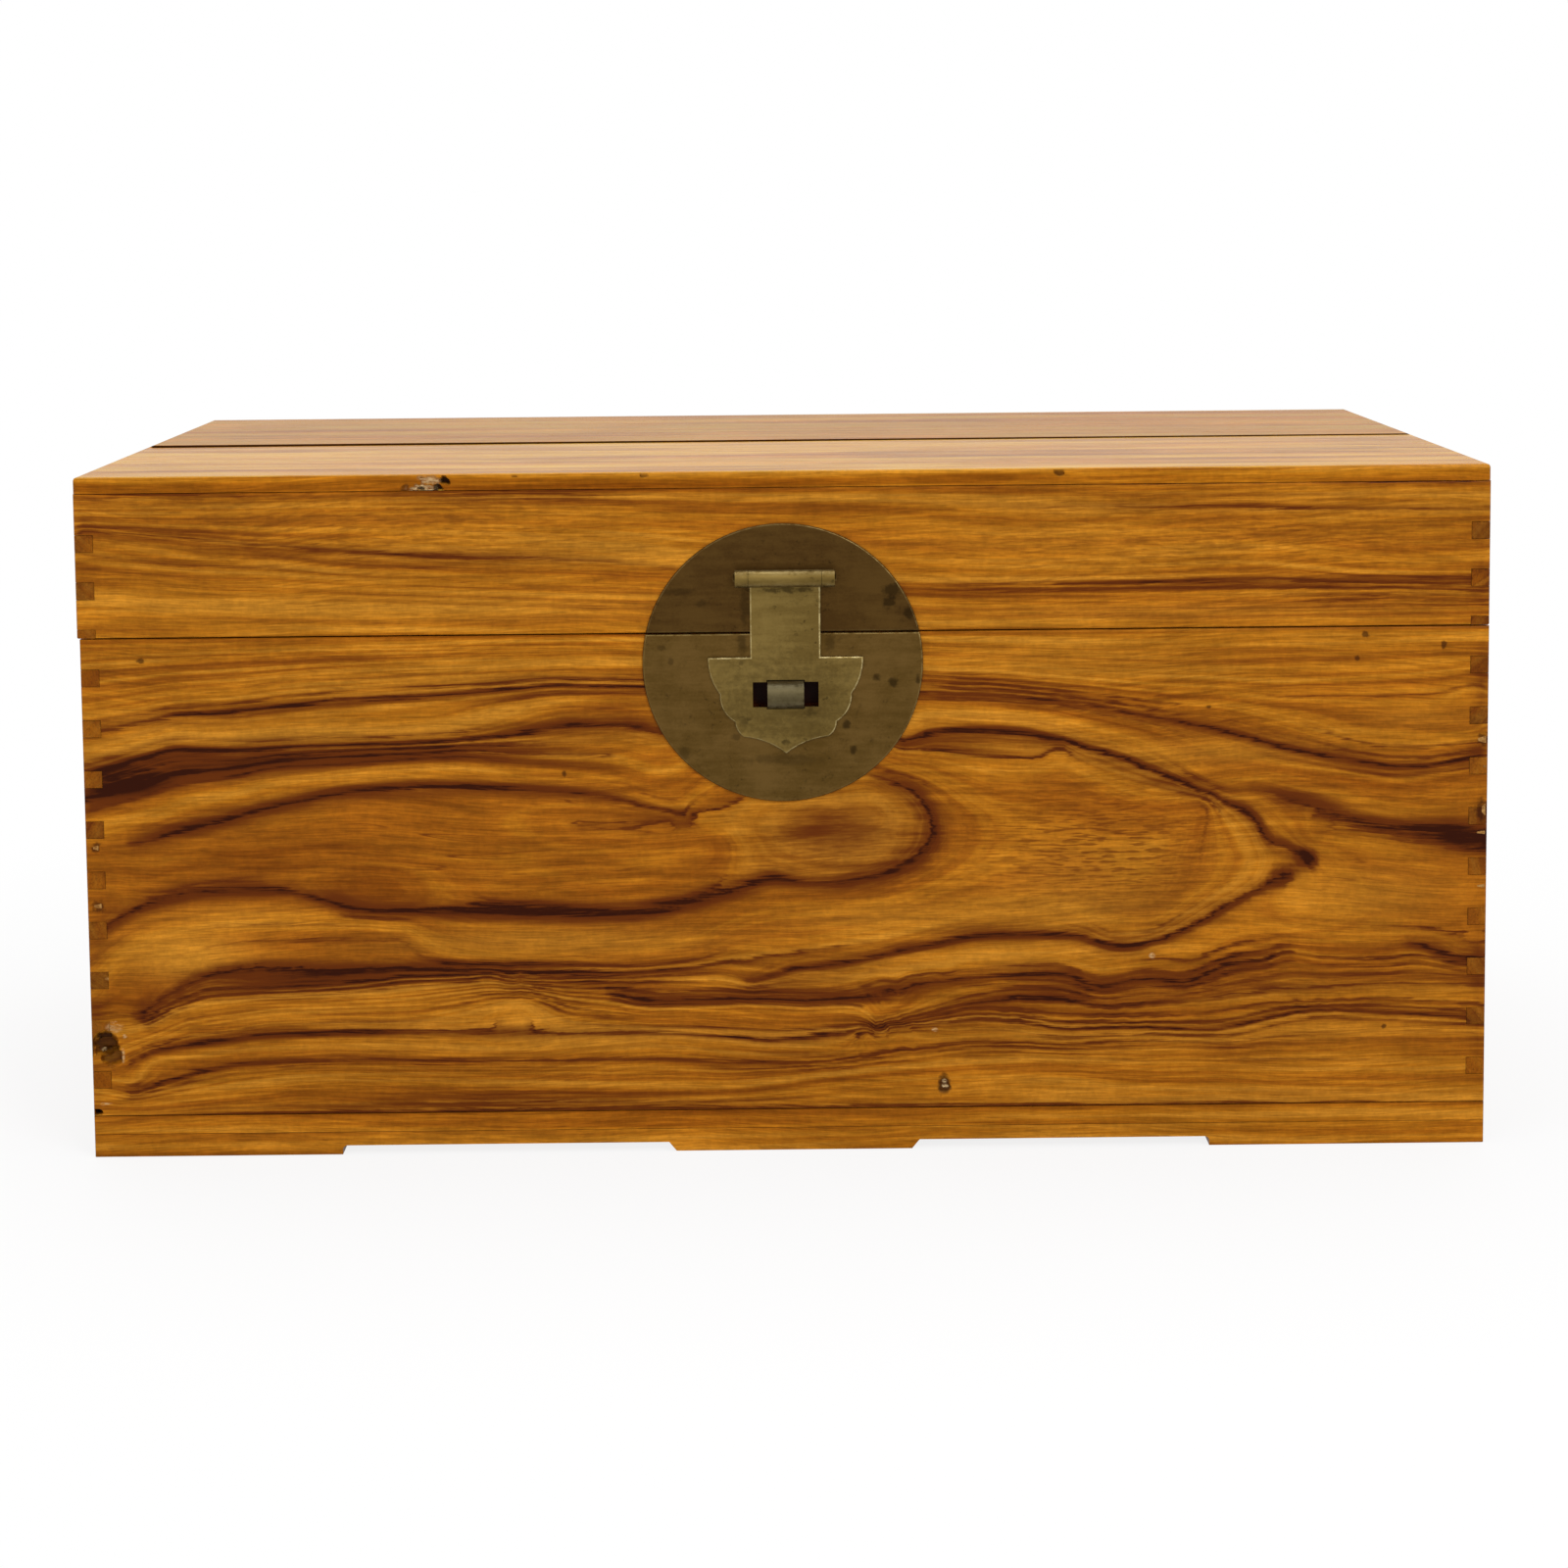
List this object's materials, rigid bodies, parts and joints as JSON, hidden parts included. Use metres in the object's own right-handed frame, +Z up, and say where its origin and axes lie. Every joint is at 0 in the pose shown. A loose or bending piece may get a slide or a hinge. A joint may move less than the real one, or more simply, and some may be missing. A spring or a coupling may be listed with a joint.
{
  "type": "wooden trunk",
  "caption": "Rectangular camphor-wood trunk with a hinged lid, finger-jointed corners, a round brass lock plate with drop hasp and staple, end bail handles and low base rails.",
  "frame": {"origin": "on the floor, under the middle of the whole trunk with its brass", "axes": "+Z up, +X to the right seen from the front, -Y out of the front with the lock plate"},
  "size_m": [0.9508, 0.5228, 0.4517],
  "materials": {
    "camphor_wood": "amber camphor wood with dark figure, thin semi-gloss varnish",
    "aged_brass": "olive-brown patina, rubbed bright on the edges"
  },
  "bodies": {
    "case": {"front_wall": "camphor_wood", "back_wall": "camphor_wood", "left_wall": "camphor_wood", "right_wall": "camphor_wood", "bottom_board_front": "camphor_wood", "bottom_board_rear": "camphor_wood", "base_rail_front": "camphor_wood", "base_rail_back": "camphor_wood", "base_rail_left": "camphor_wood", "base_rail_right": "camphor_wood", "lock_plate_lower": "aged_brass", "lock_staple": "aged_brass", "hinge_leaf_case_left": "aged_brass", "hinge_leaf_case_right": "aged_brass", "hinge_pin_left": "aged_brass", "hinge_pin_right": "aged_brass", "left_eye_front": "aged_brass", "left_eye_rear": "aged_brass", "right_eye_front": "aged_brass", "right_eye_rear": "aged_brass", "left_rosette_front": "aged_brass", "left_rosette_rear": "aged_brass", "right_rosette_front": "aged_brass", "right_rosette_rear": "aged_brass"},
    "lid": {"lid_front_rail": "camphor_wood", "lid_back_rail": "camphor_wood", "lid_left_rail": "camphor_wood", "lid_right_rail": "camphor_wood", "lid_top_board_front": "camphor_wood", "lid_top_board_rear": "camphor_wood", "lock_plate_upper": "aged_brass", "hasp_knuckle_left": "aged_brass", "hasp_knuckle_right": "aged_brass", "hasp_pin": "aged_brass", "hinge_leaf_lid_left": "aged_brass", "hinge_leaf_lid_right": "aged_brass"},
    "hasp": {"hasp": "aged_brass"},
    "left_bail": {"left_bail": "aged_brass"},
    "right_bail": {"right_bail": "aged_brass"}
  },
  "joints": [
    {"name": "lid_hinge", "type": "hinge", "parent": "case", "child": "lid", "pos_m": [0, 0.25695, 0.346], "axis": [-1, 0, 0], "range_deg": [0, 105]},
    {"name": "hasp_hinge", "type": "hinge", "parent": "lid", "child": "hasp", "pos_m": [0, -0.25575, 0.3823], "axis": [-1, 0, 0], "range_deg": [0, 185]},
    {"name": "left_bail_swing", "type": "hinge", "parent": "case", "child": "left_bail", "pos_m": [-0.4688, 0.00215, 0.235], "axis": [0, 1, 0], "range_deg": [0, 170]},
    {"name": "right_bail_swing", "type": "hinge", "parent": "case", "child": "right_bail", "pos_m": [0.4688, 0.00215, 0.235], "axis": [0, -1, 0], "range_deg": [0, 170]}
  ]
}
